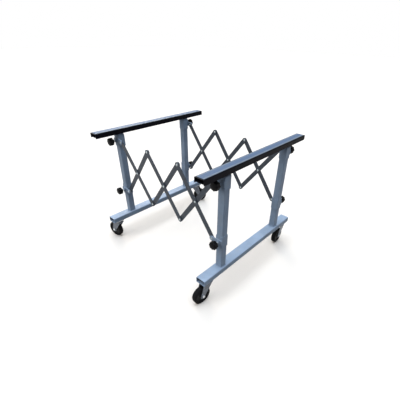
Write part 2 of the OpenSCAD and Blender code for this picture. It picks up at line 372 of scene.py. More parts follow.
@dataclass(frozen=True)
class Enamel(Finish):
    """Sprayed paint on steel, with upright rub marks, dust and chipped edges."""

    roughness: Range = (0.36, 0.52)
    specular: float = 0.13
    tones: Range = (0.95, 1.04)
    rub: float = 0.35
    rub_tone: float = 1.16
    dust: float = 0.25
    dust_colour: Colour = (0.62, 0.61, 0.58)
    chips: float = 0.8
    steel_colour: Colour = (0.42, 0.42, 0.42)
    cloud: Pattern = Pattern(9.0, 4.0, 0.35, 0.65)
    rub_marks: Pattern = Pattern(1.0, 4.0, 0.60, 0.72, stretch=(190.0, 190.0, 7.0))
    grime: Pattern = Pattern(26.0, 7.0, 0.52, 0.78)
    chipping: Pattern = Pattern(85.0, 6.0, 0.50, 0.60)
    gloss: Pattern = Pattern(40.0, 4.0)
    peel: Pattern = Pattern(700.0, 2.0)
    peel_depth: float = 0.00008
    peel_strength: float = 0.5

    def fill(self, shader: Shader) -> None:
        """Builds uneven paint with rub marks, dust, chipped edges and a fine orange peel.

        Args:
            shader: The new material.
        """
        tone = shader.mottled(self.cloud, self.colour, self.tones)
        rub = shader.patches(self.rub_marks, 0.0, self.rub)
        tone = shader.mix(rub, tone, tinted(self.colour, self.rub_tone))
        tone = shader.mix(shader.patches(self.grime, 0.0, self.dust), tone, linear(self.dust_colour))
        chip = shader.times(shader.attribute(EDGE), shader.patches(self.chipping, 0.0, self.chips))
        shader.set(base_color=shader.mix(chip, tone, linear(self.steel_colour)), metallic=chip)
        shader.set(roughness=shader.patches(self.gloss, *self.roughness), specular_ior_level=self.specular)
        shader.bump(shader.noise(self.peel), self.peel_depth, self.peel_strength)


@dataclass(frozen=True)
class Zinc(Finish):
    """Plated steel with a faint bloom, fine lines, and brighter edges that are partly worn and partly a painted
    highlight.
    """

    roughness: Range = (0.32, 0.5)
    metallic: float = 0.85
    specular: float = 0.5
    tones: Range = (0.88, 1.12)
    line_tone: float = 1.2
    line_share: float = 0.35
    # The edge tone and its patches: brighter edges, partly worn plating and partly a painted highlight.
    edge_tone: float = 1.35
    spots: Pattern = Pattern(55.0, 5.0, 0.32, 0.68)
    lines: Pattern = Pattern(420.0, 3.0)
    bright_lines: Range = (0.5, 0.75)
    wear: Pattern = Pattern(60.0, 4.0, 0.25, 0.65)
    line_depth: float = 0.00005
    line_strength: float = 0.4

    def fill(self, shader: Shader) -> None:
        """Builds mottled plating with its lines, and edges that are partly worn and partly a painted highlight.

        Args:
            shader: The new material.
        """
        lines = shader.noise(self.lines)
        tone = shader.mottled(self.spots, self.colour, self.tones)
        bright = shader.span(lines, *self.bright_lines, 0.0, self.line_share)
        tone = shader.mix(bright, tone, tinted(self.colour, self.line_tone))
        # Edge colour lightened in patches: partly worn plating, partly a painted highlight where the edges catch
        # the light.
        edge = shader.times(shader.attribute(EDGE), shader.patches(self.wear))
        shader.set(base_color=shader.mix(edge, tone, tinted(self.colour, self.edge_tone)))
        shader.set(metallic=self.metallic, specular_ior_level=self.specular)
        shader.set(roughness=shader.span(lines, self.lines.low, self.lines.high, *self.roughness))
        shader.bump(lines, self.line_depth, self.line_strength)


@dataclass(frozen=True)
class Moulding(Finish):
    """Moulded black plastic with a fine spark grain."""

    roughness: Range = (0.30, 0.46)
    specular: float = 0.15
    tones: Range = (0.85, 1.3)
    cloud: Pattern = Pattern(70.0, 5.0, 0.35, 0.7)
    spark: Pattern = Pattern(1500.0, 1.0)
    spark_depth: float = 0.00006
    spark_strength: float = 0.6

    def fill(self, shader: Shader) -> None:
        """Builds a slightly cloudy plastic with a fine grain.

        Args:
            shader: The new material.
        """
        tone = shader.mottled(self.cloud, self.colour, self.tones)
        shader.set(base_color=tone, specular_ior_level=self.specular)
        shader.set(roughness=shader.patches(self.cloud, *self.roughness))
        shader.bump(shader.noise(self.spark), self.spark_depth, self.spark_strength)


@dataclass(frozen=True)
class Rubber(Finish):
    """Black rubber, dusty where it has rolled."""

    roughness: Range = (0.58, 0.78)
    specular: float = 0.09
    tones: Range = (0.9, 1.15)
    dust: float = 0.16
    dust_colour: Colour = (0.24, 0.235, 0.23)
    skin: Pattern = Pattern(320.0, 3.0, 0.35, 0.65)
    gloss: Pattern = Pattern(320.0, 3.0)
    grime: Pattern = Pattern(48.0, 6.0, 0.5, 0.75)
    skin_depth: float = 0.00015
    skin_strength: float = 0.5

    def fill(self, shader: Shader) -> None:
        """Builds a matt rubber with grey dust and a fine skin.

        Args:
            shader: The new material.
        """
        tone = shader.mottled(self.skin, self.colour, self.tones)
        tone = shader.mix(shader.patches(self.grime, 0.0, self.dust), tone, linear(self.dust_colour))
        shader.set(base_color=tone, specular_ior_level=self.specular)
        shader.set(roughness=shader.patches(self.gloss, *self.roughness))
        shader.bump(shader.noise(self.skin), self.skin_depth, self.skin_strength)


@dataclass(frozen=True)
class Strip(Finish):
    """Plastic strip with a finely ribbed middle band, scuffed across by what has been laid on it."""

    roughness: Range = (0.45, 0.65)
    specular: float = 0.1
    tones: Range = (0.95, 1.05)
    band_colour: Colour = (0.29, 0.365, 0.465)
    band_half: float = 0.016
    band_blur: Range = (0.9, 1.1)
    rib_pitch: float = 0.007
    rib_flank: float = 0.6
    rib_share: float = 0.3
    rib_tone: float = 0.75
    scuff: float = 0.4
    scuff_tone: float = 1.22
    drag_tone: float = 0.82
    # Painted highlight along the strip's rounded edges.
    edge_share: float = 0.5
    edge_tone: float = 1.15
    cloud: Pattern = Pattern(14.0, 5.0, 0.35, 0.65)
    scuffs: Pattern = Pattern(1.0, 5.0, 0.60, 0.76, stretch=(22.0, 230.0, 30.0))
    gloss: Pattern = Pattern(1.0, 5.0, 0.4, 0.75, stretch=(22.0, 230.0, 30.0))
    drags: Pattern = Pattern(1.0, 3.0, 0.62, 0.74, stretch=(420.0, 9.0, 30.0))
    grit: Pattern = Pattern(900.0, 2.0)
    skin_depth: float = 0.00012
    skin_strength: float = 0.5

    def fill(self, shader: Shader) -> None:
        """Builds the strip's colour with its band, scuffs across it, a few long drag marks and a painted highlight
        on its rounded edges.

        Args:
            shader: The new material.
        """
        band = self.band(shader)
        ribs = shader.times(self.ribs(shader), band)
        tone = shader.mottled(self.cloud, self.colour, self.tones)
        tone = shader.mix(band, tone, linear(self.band_colour))
        tone = shader.mix(shader.times(ribs, self.rib_share), tone, tinted(self.band_colour, self.rib_tone))
        for marks, mark_tone in ((self.scuffs, self.scuff_tone), (self.drags, self.drag_tone)):
            share = shader.patches(marks, 0.0, self.scuff)
            tone = shader.mix(share, tone, tinted(self.colour, mark_tone))
        # Painted highlight: the strip's rounded edges are lightened as if they caught the light.
        edge = shader.times(shader.attribute(EDGE), self.edge_share)
        tone = shader.mix(edge, tone, tinted(self.colour, self.edge_tone))
        shader.set(base_color=tone, specular_ior_level=self.specular)
        shader.set(roughness=shader.patches(self.gloss, *self.roughness))
        shader.bump(shader.plus(ribs, shader.noise(self.grit)), self.skin_depth, self.skin_strength)

    def band(self, shader: Shader) -> Socket:
        """Masks the strip's middle band, on either top rail.

        Args:
            shader: The new material.

        Returns:
            1 on the band and 0 beside it.
        """
        low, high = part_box(f"{End.RIGHT.word}_top_pad")
        off = shader.minus(shader.size_of(shader.measured(Axis.X)), (low.x + high.x) / 2)
        near, far = (self.band_half * share for share in self.band_blur)
        return shader.span(shader.size_of(off), near, far, 1.0, 0.0)

    def ribs(self, shader: Shader) -> Socket:
        """Makes the waves of the ribs that lie across the strip."""
        wave = shader.math("SINE", shader.times(shader.measured(Axis.Y), math.tau / self.rib_pitch))
        return shader.span(wave, -self.rib_flank, self.rib_flank)


FRAME_PAINT = Enamel("frame_enamel", Slot.FRAME_PAINT, (0.535, 0.594, 0.66))
CHANNEL_PAINT = Enamel(
    "channel_enamel", Slot.CHANNEL_PAINT, (0.034, 0.032, 0.06), specular=0.035, rub=0.2, dust=0.02,
)
PAD_STRIP = Strip("pad_plastic", Slot.PAD_STRIP, (0.40, 0.44, 0.48))
BAR_ZINC = Zinc(
    "bar_zinc", Slot.DULL_ZINC, (0.25, 0.268, 0.294), metallic=0.2, specular=0.2,
    lines=Pattern(1.0, 3.0, stretch=(30.0, 1400.0, 1.0), grain=Grain.BAR),
)
FORK_ZINC = Zinc("fork_zinc", Slot.DULL_ZINC, (0.39, 0.41, 0.44))
BRIGHT_ZINC = Zinc("bright_zinc", Slot.BRIGHT_ZINC, (0.66, 0.68, 0.70), roughness=(0.24, 0.42))
BOLT_ZINC = Zinc("bolt_zinc", Slot.BRIGHT_ZINC, (0.36, 0.38, 0.41), roughness=(0.42, 0.6))
RIVET_ZINC = Zinc("rivet_zinc", Slot.BRIGHT_ZINC, (0.62, 0.65, 0.655), roughness=(0.28, 0.46))
KNOB_BLACK = Moulding("knob_plastic", Slot.KNOB_BLACK, (0.02, 0.02, 0.028), specular=0.07)
CENTRE_BLACK = Moulding("wheel_plastic", Slot.TYRE_BLACK, (0.05, 0.05, 0.056), roughness=(0.39, 0.55))
TYRE_BLACK = Rubber("tyre_rubber", Slot.TYRE_BLACK, (0.03, 0.03, 0.036))


def linked(name: str, data: bpy.types.ID) -> Thing:
    """Adds an object to the scene.

    Args:
        name: The object's name.
        data: Its mesh, lens or light.

    Returns:
        The object.
    """
    thing = bpy.data.objects.new(name, data)
    bpy.context.scene.collection.objects.link(thing)
    return thing


def settled(thing: Thing) -> Mesh:
    """Turns an object with modifiers into a plain mesh, and removes the object.

    Args:
        thing: The object, linked to the scene.

    Returns:
        The mesh with its modifiers applied.
    """
    graph = bpy.context.evaluated_depsgraph_get()
    mesh = bpy.data.meshes.new_from_object(
        thing.evaluated_get(graph), preserve_all_data_layers=True, depsgraph=graph
    )
    source = thing.data
    bpy.data.objects.remove(thing)
    bpy.data.meshes.remove(source)
    return mesh


def shaded(mesh: Mesh) -> Mesh:
    """Smooths a mesh's shading over all but its sharp edges.

    Args:
        mesh: The mesh, which is changed in place.

    Returns:
        The same mesh.
    """
    mesh.shade_smooth()
    mesh.set_sharp_from_angle(angle=SMOOTH_ANGLE)
    return mesh


def drawn(edit: bmesh.types.BMesh, name: str) -> Mesh:
    """Turns an edited shape into a mesh.

    Args:
        edit: The shape, which is freed.
        name: The mesh's name.

    Returns:
        The mesh.
    """
    mesh = bpy.data.meshes.new(name)
    edit.to_mesh(mesh)
    edit.free()
    return mesh


def add_piece(name: str, mesh: Mesh, finish: Finish, body: str, stands_for: Sequence[str] = ()) -> Thing:
    """Adds a finished mesh as one piece of the object.

    Args:
        name: The piece's name.
        mesh: Its mesh, in the object's frame.
        finish: Its finish.
        body: The body that it rides on.
        stands_for: The CAD nodes that it replaces.

    Returns:
        The piece.
    """
    mesh.name = name
    mesh.materials.clear()
    mesh.materials.append(finish.material())
    piece = linked(name, mesh)
    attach(piece, body)
    if stands_for:
        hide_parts(*stands_for)
    LOG.info("%s: %d faces, on %s", name, len(mesh.polygons), body)
    return piece


def body_of_node(node: str) -> str:
    """Finds the body that holds a CAD node."""
    bodies = frame["record"]["behaviour"]["bodies"]
    return next(body for body, nodes in bodies.items() if node in nodes)


def joint_named(name: str) -> dict[str, Any]:
    """Finds a joint of the object by its name."""
    return next(joint for joint in frame["joints"] if joint["name"] == name)


def post_name(end: End, side: Side) -> str:
    """Gives the CAD node of a post."""
    return f"{end.word}_{side.word}_post"


def bar_name(side: Side, lean: Lean, unit: int) -> str:
    """Gives the CAD node of a lattice bar."""
    return f"{side.word}_{lean.word}_bar_{unit}"


@dataclass(frozen=True)
class Softening:
    """Rounded edges for a copy of a CAD node's mesh."""

    width: float
    segments: int = 2
    least_angle: float = math.radians(40)
    round_profile: float = 0.5
    flat_weight: int = 100

    def mesh(self, node: str) -> Mesh:
        """Copies a node's mesh and rounds its sharp edges, which the copy marks.

        Args:
            node: The CAD node's name.

        Returns:
            The rounded copy, with normals that keep its flats flat.
        """
        edit = bmesh.new()
        edit.from_mesh(frame["nodes"][node].data)
        edge = edit.faces.layers.float.new(EDGE)
        bmesh.ops.remove_doubles(edit, verts=edit.verts[:], dist=MERGE_REACH)
        bmesh.ops.dissolve_limit(edit, angle_limit=FLAT_ANGLE, verts=edit.verts[:], edges=edit.edges[:])
        sharp = [e for e in edit.edges if e.is_manifold and e.calc_face_angle() > self.least_angle]
        rounded = bmesh.ops.bevel(
            edit, geom=sharp, offset=self.width, offset_type="OFFSET", segments=self.segments,
            profile=self.round_profile, affect="EDGES", clamp_overlap=True,
        )
        for face in rounded["faces"]:
            face[edge] = 1.0
        mesh = drawn(edit, node)
        mesh.shade_smooth()
        holder = linked(node + "_copy", mesh)
        holder.modifiers.new("flats", "WEIGHTED_NORMAL").weight = self.flat_weight
        return settled(holder)

    def dress(self, node: str, name: str, finish: Finish) -> Thing:
        """Replaces a CAD node by its rounded copy, as a piece with a name and a finish."""
        return add_piece(name, self.mesh(node), finish, body_of_node(node), [node])


def lay_grain(mesh: Mesh, along: Vector, across: Vector) -> None:
    """Lays a bar's fine lines along it, as a UV map in metres.

    Args:
        mesh: The bar's mesh.
        along: Direction of the bar.
        across: Direction across its flat face.
    """
    layer = mesh.uv_layers.new(name=GRAIN)
    for loop, point in zip(mesh.loops, layer.data):
        place = mesh.vertices[loop.vertex_index].co
        point.uv = (place.dot(along), place.dot(across))


def turned(profile: Outline, centre: Vector, axis: Vector, steps: int) -> Mesh:
    """Turns a closed outline about an axis, as on a lathe.

    Args:
        profile: Points of the outline as distance from the axis and place along it.
        centre: The axis' origin.
        axis: The axis' direction.
        steps: Number of facets round the axis.

    Returns:
        The turned mesh.
    """
    edit = bmesh.new()
    turn = UP.rotation_difference(axis).to_matrix()
    rings = []
    for step in range(steps):
        angle = math.tau * step / steps
        spoke = Vector((math.cos(angle), math.sin(angle), 0.0))
        ring = [centre + turn @ (spoke * radius + UP * along) for radius, along in profile]
        rings.append([edit.verts.new(place) for place in ring])
    for step, ring in enumerate(rings):
        following = rings[(step + 1) % steps]
        for i in range(len(profile)):
            j = (i + 1) % len(profile)
            edit.faces.new((ring[i], ring[j], following[j], following[i]))
    bmesh.ops.recalc_face_normals(edit, faces=edit.faces[:])
    return shaded(drawn(edit, "turned"))


def arc(centre: tuple[float, float], radius: float, start: float, end: float, steps: int) -> Outline:
    """Gives points along an arc of an outline.

    Args:
        centre: The arc's centre.
        radius: Its radius.
        start: The angle where it starts, in degrees.
        end: The angle where it ends.
        steps: Number of stretches.

    Returns:
        The points, with both ends.
    """
    angles = [math.radians(start + (end - start) * i / steps) for i in range(steps + 1)]
    return [(centre[0] + radius * math.cos(a), centre[1] + radius * math.sin(a)) for a in angles]


def mirrored(outline: Outline) -> Outline:
    """Closes the outline of a wheel's piece with its other half."""
    return outline + [(radius, -along) for radius, along in reversed(outline)]


def joined(meshes: Iterable[Mesh]) -> Mesh:
    """Joins several meshes into one.

    Args:
        meshes: The meshes, which are removed.

    Returns:
        The joined mesh, smoothed as the others were.
    """
    edit = bmesh.new()
    for mesh in meshes:
        edit.from_mesh(mesh)
        bpy.data.meshes.remove(mesh)
    return drawn(edit, "joined")


@dataclass(frozen=True)
class Sizes:
    """The named sizes of a shape, which are the inputs of its tree."""


class MeshTree(Graph):
    """A Geometry Nodes tree with named sizes, whose result is kept as a plain mesh."""

    TITLE: str
    SIZES: type[Sizes]
    ROUND_STEPS = 32

    def __init__(self) -> None:
        """Builds the tree: its inputs, its shape, and the instances and material at its end."""
        super().__init__(bpy.data.node_groups.new(self.TITLE, "GeometryNodeTree"))
        self.tree.interface.new_socket("Geometry", in_out="OUTPUT", socket_type="NodeSocketGeometry")
        kinds = {"Geometry": "NodeSocketGeometry"}
        kinds.update({size.name: "NodeSocketFloat" for size in fields(self.SIZES)})
        kinds["Material"] = "NodeSocketMaterial"
        self.keys = {name: self.taken(name, kind) for name, kind in kinds.items()}
        self.entry = self.tree.nodes.new("NodeGroupInput").outputs
        real = self.node("GeometryNodeRealizeInstances", {"Geometry": self.result(self.entry["Geometry"])})
        inputs = {"Geometry": real.outputs[0], "Material": self.entry["Material"]}
        self.node("NodeGroupOutput", {0: self.node("GeometryNodeSetMaterial", inputs).outputs[0]})

    def taken(self, name: str, kind: str) -> str:
        """Adds a named input to the tree and gives its identifier."""
        return self.tree.interface.new_socket(name, in_out="INPUT", socket_type=kind).identifier

    def result(self, base: Socket) -> Socket:
        """Builds the tree's shape on its base geometry."""
        raise NotImplementedError

    def make(self, base: Mesh, finish: Finish, sizes: Sizes) -> Mesh:
        """Runs the tree once.

        Args:
            base: The points or paths that it works on.
            finish: The finish of the result.
            sizes: A value for each named size.

        Returns:
            The result as a plain mesh.
        """
        holder = linked(self.TITLE, base)
        modifier = holder.modifiers.new(self.TITLE, "NODES")
        modifier.node_group = self.tree
        for size, value in asdict(sizes).items():
            modifier[self.keys[size]] = float(value)
        modifier[self.keys["Material"]] = finish.material()
        return shaded(settled(holder))

    def moved(self, geometry: Socket, z: object, turn: Sequence[float] = (0.0, 0.0, 0.0)) -> Socket:
        """Turns a shape and lifts it along its axis."""
        inputs = {"Geometry": geometry, "Translation": self.vector(0.0, 0.0, z), "Rotation": turn}
        return self.node("GeometryNodeTransform", inputs).outputs[0]

    def together(self, *geometry: Socket) -> Socket:
        """Joins several shapes.

        Args:
            *geometry: The shapes.

        Returns:
            All of them as one.
        """
        joint = self.node("GeometryNodeJoinGeometry")
        for shape in geometry:
            self.feed(joint.inputs[0], shape)
        return joint.outputs[0]

    def rod(self, diameter: object, low: object, high: object) -> Socket:
        """Makes a plain rod along the axis.

        Args:
            diameter: The rod's diameter.
            low: The height where it starts.
            high: The height where it ends.

        Returns:
            The rod.
        """
        length = self.minus(high, low)
        inputs = {"Vertices": self.ROUND_STEPS, "Radius": self.half(diameter), "Depth": length}
        middle = self.half(self.plus(low, high))
        return self.moved(self.node("GeometryNodeMeshCylinder", inputs).outputs["Mesh"], middle)

    def place_parts(self) -> tuple[Socket, Socket, Socket]:
        """Splits the position of each point.

        Returns:
            Its three numbers.
        """
        spot = self.node("GeometryNodeInputPosition").outputs[0]
        parts = self.node("ShaderNodeSeparateXYZ", {0: spot}).outputs
        return parts[0], parts[1], parts[2]

    def reshaped(self, geometry: Socket, x: object, y: object, z: object) -> Socket:
        """Moves every point of a shape to a new place."""
        inputs = {"Geometry": geometry, "Position": self.vector(x, y, z)}
        return self.node("GeometryNodeSetPosition", inputs).outputs[0]


class PointTree(MeshTree):
    """A tree that sets one shape on every point of its base, facing outward."""

    def shape(self) -> Socket:
        """Builds the shape at the origin, facing along Z."""
        raise NotImplementedError

    def result(self, base: Socket) -> Socket:
        """Sets the shape on the points.

        Args:
            base: The points, which carry the directions that they face.

        Returns:
            The shapes, as instances.
        """
        outward = self.node("GeometryNodeInputNamedAttribute", {"Name": OUTWARD}, data_type="FLOAT_VECTOR")
        facing = self.node("FunctionNodeAlignRotationToVector", {"Vector": outward.outputs[0]}, axis="Z")
        points = self.node("GeometryNodeMeshToPoints", {"Mesh": base})
        inputs = {"Points": points.outputs[0], "Instance": self.shape(), "Rotation": facing.outputs[0]}
        return self.node("GeometryNodeInstanceOnPoints", inputs).outputs[0]

    def on(self, seats: Sequence[Seat], finish: Finish, sizes: Sizes) -> Mesh:
        """Makes the shapes on a list of places.

        Args:
            seats: Each place and the direction that its shape faces.
            finish: The finish of the shapes.
            sizes: A value for each named size.

        Returns:
            All the shapes as one plain mesh.
        """
        base = bpy.data.meshes.new(self.TITLE)
        base.from_pydata([place for place, _ in seats], [], [])
        outward = base.attributes.new(OUTWARD, "FLOAT_VECTOR", "POINT")
        for value, (_, direction) in zip(outward.data, seats):
            value.vector = direction
        return self.make(base, finish, sizes)


@dataclass(frozen=True)
class RivetSizes(Sizes):
    """Sizes of a rivet, whose grip between its heads is set for the layers that it holds."""

    head_diameter: float = 0.015
    head_height: float = 0.003
    shank_diameter: float = 0.008
    grip: float = 0.0


class RivetTree(PointTree):
    """Rivets with a domed head at each end."""

    TITLE = "domed_rivets"
    SIZES = RivetSizes
    HEAD_RINGS = 16

    def dome(self) -> Socket:
        """Makes one head on the axis' origin, with a flat underside.

        Returns:
            The head.
        """
        inputs = {"Segments": self.ROUND_STEPS, "Rings": self.HEAD_RINGS, "Radius": 1.0}
        ball = self.node("GeometryNodeMeshUVSphere", inputs).outputs["Mesh"]
        x, y, z = self.place_parts()
        radius = self.half(self.entry["head_diameter"])
        height = self.times(self.math("MAXIMUM", z, 0.0), self.entry["head_height"])
        return self.reshaped(ball, self.times(x, radius), self.times(y, radius), height)

    def shape(self) -> Socket:
        """Builds a rivet with its outer head on the origin.

        Returns:
            The rivet.
        """
        inner = self.negative(self.entry["grip"])
        back = self.moved(self.dome(), inner, (math.pi, 0.0, 0.0))
        return self.together(self.dome(), back, self.rod(self.entry["shank_diameter"], inner, 0.0))


@dataclass(frozen=True)
class BoltSizes(Sizes):
    """Sizes of a bolt, whose grip between its washer and nut is set for the layers that it holds."""

    across_corners: float = 0.015
    head_height: float = 0.004
    washer_diameter: float = 0.0155
    washer_thickness: float = 0.001
    shank_diameter: float = 0.008
    grip: float = 0.0
    nut_height: float = 0.0065
    tail: float = 0.002


class BoltTree(PointTree):
    """Hexagon bolts with a washer, and a nut on the far side."""

    TITLE = "hexagon_bolts"
    SIZES = BoltSizes
    CORNERS = 6
    CHAMFER_SHARE = 0.18
    TIP_SHARE = 0.9
    HALFWAY = 0.25

    def hexagon(self, low: object, height: object) -> Socket:
        """Makes a hexagon prism whose upper corners are chamfered.

        Args:
            low: The height where it starts.
            height: Its own height.

        Returns:
            The prism.
        """
        inputs = {"Vertices": self.CORNERS, "Side Segments": 2, "Radius": 0.5, "Depth": 1.0}
        prism = self.node("GeometryNodeMeshCylinder", inputs).outputs["Mesh"]
        x, y, z = self.place_parts()
        tip = self.math("GREATER_THAN", z, self.HALFWAY)
        middle = self.math("LESS_THAN", self.size_of(z), self.HALFWAY)
        narrow = self.minus(1.0, self.times(tip, 1.0 - self.TIP_SHARE))
        across = self.times(narrow, self.entry["across_corners"])
        raised = self.plus(z, self.times(middle, 0.5 - self.CHAMFER_SHARE))
        up = self.plus(self.times(self.plus(raised, 0.5), height), low)
        return self.reshaped(prism, self.times(x, across), self.times(y, across), up)

    def shape(self) -> Socket:
        """Builds a bolt whose washer lies on the origin, with its head outward.

        Returns:
            The bolt.
        """
        washer = self.entry["washer_thickness"]
        nut_end = self.minus(self.negative(self.entry["grip"]), self.entry["nut_height"])
        end = self.minus(nut_end, self.entry["tail"])
        return self.together(
            self.hexagon(washer, self.entry["head_height"]),
            self.rod(self.entry["washer_diameter"], 0.0, washer),
            self.rod(self.entry["shank_diameter"], end, 0.0),
            self.hexagon(nut_end, self.entry["nut_height"]),
        )


@dataclass(frozen=True)
class StudSizes(Sizes):
    """Sizes of a threaded stud, whose length is set for the knob that it carries."""

    diameter: float = 0.010
    length: float = 0.0
    pitch: float = 0.0018


class StudTree(PointTree):
    """Threaded studs."""

    TITLE = "threaded_studs"
    SIZES = StudSizes
    CREST_SHARE = 0.5
    CREST_SIDES = 4
    STEPS_A_TURN = 20

    def shape(self) -> Socket:
        """Builds a core and a thread that winds along it.

        Returns:
            The stud.
        """
        length, pitch = self.entry["length"], self.entry["pitch"]
        crest = self.times(pitch, self.CREST_SHARE)
        root = self.minus(self.half(self.entry["diameter"]), crest)
        winding = self.node("GeometryNodeCurveSpiral", {
            "Resolution": self.STEPS_A_TURN,
            "Rotations": self.math("DIVIDE", length, pitch),
            "Start Radius": root,
            "End Radius": root,
            "Height": length,
        })
        inputs = {"Resolution": self.CREST_SIDES, "Radius": crest}
        section = self.node("GeometryNodeCurvePrimitiveCircle", inputs)
        inputs = {"Curve": winding.outputs[0], "Profile Curve": section.outputs[0], "Fill Caps": True}
        thread = self.node("GeometryNodeCurveToMesh", inputs).outputs[0]
        return self.together(thread, self.rod(self.times(root, 2.0), 0.0, length))


@dataclass(frozen=True)
class KnobSizes(Sizes):
    """Sizes of a lobed knob, whose diameter is set from its node.

    The lobe depth is a share of its radius.
    """

    diameter: float = 0.0
    height: float = 0.030
    lobes: int = 8
    lobe_depth: float = 0.11
    crown: float = 0.003
    boss_diameter: float = 0.024
    boss_height: float = 0.008


class KnobTree(PointTree):
    """Lobed knobs with a boss under the head."""

    TITLE = "lobed_knobs"
    SIZES = KnobSizes
    HEAD_STEPS = 96
    SIDE_STEPS = 12
    TOP_STEPS = 8
    BOSS_STEPS = 48
    TOP_FACE = 0.49
    RIM_SHARE = 0.16
    RIM_POWER = 7.0
    BOSS_TAPER = 0.85

    def head(self) -> Socket:
        """Makes the lobed head by drawing in a drum between its lobes and at its rims.

        Returns:
            The head, with its underside on the origin.
        """
        inputs = {
            "Vertices": self.HEAD_STEPS, "Side Segments": self.SIDE_STEPS, "Fill Segments": self.TOP_STEPS,
            "Radius": 1.0, "Depth": 1.0,
        }
        drum = self.node("GeometryNodeMeshCylinder", inputs, fill_type="TRIANGLE_FAN").outputs["Mesh"]
        x, y, z = self.place_parts()
        reach = self.math("MINIMUM", self.math("SQRT", self.plus(self.square(x), self.square(y))), 1.0)
        wave = self.math("COSINE", self.times(self.math("ARCTAN2", y, x), self.entry["lobes"]))
        valley = self.half(self.minus(1.0, wave))
        dip = self.times(valley, self.entry["lobe_depth"], self.square(reach))
        rim = self.math("POWER", self.size_of(self.times(z, 2.0)), self.RIM_POWER)
        body = self.minus(1.0, self.times(rim, self.RIM_SHARE))
        scale = self.times(self.minus(1.0, dip), body, self.half(self.entry["diameter"]))
        top = self.times(self.math("GREATER_THAN", z, self.TOP_FACE), self.entry["crown"])
        crown = self.times(top, self.minus(1.0, self.square(reach)))
        up = self.plus(self.times(self.plus(z, 0.5), self.entry["height"]), crown)
        return self.reshaped(drum, self.times(x, scale), self.times(y, scale), up)

    def shape(self) -> Socket:
        """Builds the head on the origin and the boss below it.

        Returns:
            The knob.
        """
        radius, height = self.half(self.entry["boss_diameter"]), self.entry["boss_height"]
        boss = self.node("GeometryNodeMeshCone", {
            "Vertices": self.BOSS_STEPS,
            "Radius Top": radius,
            "Radius Bottom": self.times(radius, self.BOSS_TAPER),
            "Depth": height,
        })
        return self.together(self.head(), self.moved(boss.outputs["Mesh"], self.negative(height)))


@dataclass(frozen=True)
class BeadSizes(Sizes):
    """Sizes of a weld bead, whose ripple depth is a share of its radius."""

    width: float
    ripple_pitch: float
    ripple_depth: float


class WeldTree(MeshTree):
    """Rippled weld beads along paths."""

    TITLE = "weld_beads"
    SIZES = BeadSizes
    BEAD_SIDES = 10
    STEPS_A_RIPPLE = 6.0
    WANDER_SHARE = 0.3
    WANDER_SCALE = 90.0
    WANDER_DETAIL = 1.0
    WANDER_MIDDLE = 0.5

    def result(self, base: Socket) -> Socket:
        """Sweeps a round bead along the paths, swelling at every ripple.

        Args:
            base: The paths.

        Returns:
            The beads.
        """
        pitch = self.entry["ripple_pitch"]
        path = self.node("GeometryNodeMeshToCurve", {"Mesh": base}).outputs[0]
        inputs = {"Curve": path, "Length": self.math("DIVIDE", pitch, self.STEPS_A_RIPPLE)}
        fine = self.node("GeometryNodeResampleCurve", inputs, mode="LENGTH").outputs[0]
        run = self.node("GeometryNodeSplineParameter").outputs["Length"]
        phase = self.times(self.math("DIVIDE", run, pitch), math.pi)
        notch = self.times(self.size_of(self.math("COSINE", phase)), self.entry["ripple_depth"])
        inputs = {"Scale": self.WANDER_SCALE, "Detail": self.WANDER_DETAIL}
        wander = self.node("ShaderNodeTexNoise", inputs).outputs["Fac"]
        swell = self.times(self.minus(wander, self.WANDER_MIDDLE), self.WANDER_SHARE)
        scale = self.plus(self.minus(1.0, notch), swell)
        inputs = {"Resolution": self.BEAD_SIDES, "Radius": self.half(self.entry["width"])}
        section = self.node("GeometryNodeCurvePrimitiveCircle", inputs).outputs[0]
        inputs = {"Curve": fine, "Profile Curve": section, "Scale": scale, "Fill Caps": True}
        return self.node("GeometryNodeCurveToMesh", inputs).outputs[0]

    def along(self, paths: Sequence[Sequence[Vector]], finish: Finish, sizes: BeadSizes, ring: bool) -> Mesh:
        """Lays beads along paths.

        Args:
            paths: The points of each path.
            finish: The finish over the beads.
            sizes: A value for each named size.
            ring: Whether each path goes round to its start.

        Returns:
            The beads as one plain mesh.
        """
        points: list[Vector] = []
        edges: list[tuple[int, int]] = []
        for path in paths:
            first = len(points)
            points.extend(path)
            edges.extend((first + i, first + i + 1) for i in range(len(path) - 1))
            if ring:
                edges.append((len(points) - 1, first))
        base = bpy.data.meshes.new(self.TITLE)
        base.from_pydata(points, edges, [])
        return self.make(base, finish, sizes)


@dataclass(frozen=True)
class Trees:
    """The Geometry Nodes trees that the sub-assemblies share."""

    rivets: RivetTree = field(default_factory=RivetTree)
    bolts: BoltTree = field(default_factory=BoltTree)
    studs: StudTree = field(default_factory=StudTree)
    knobs: KnobTree = field(default_factory=KnobTree)
    welds: WeldTree = field(default_factory=WeldTree)


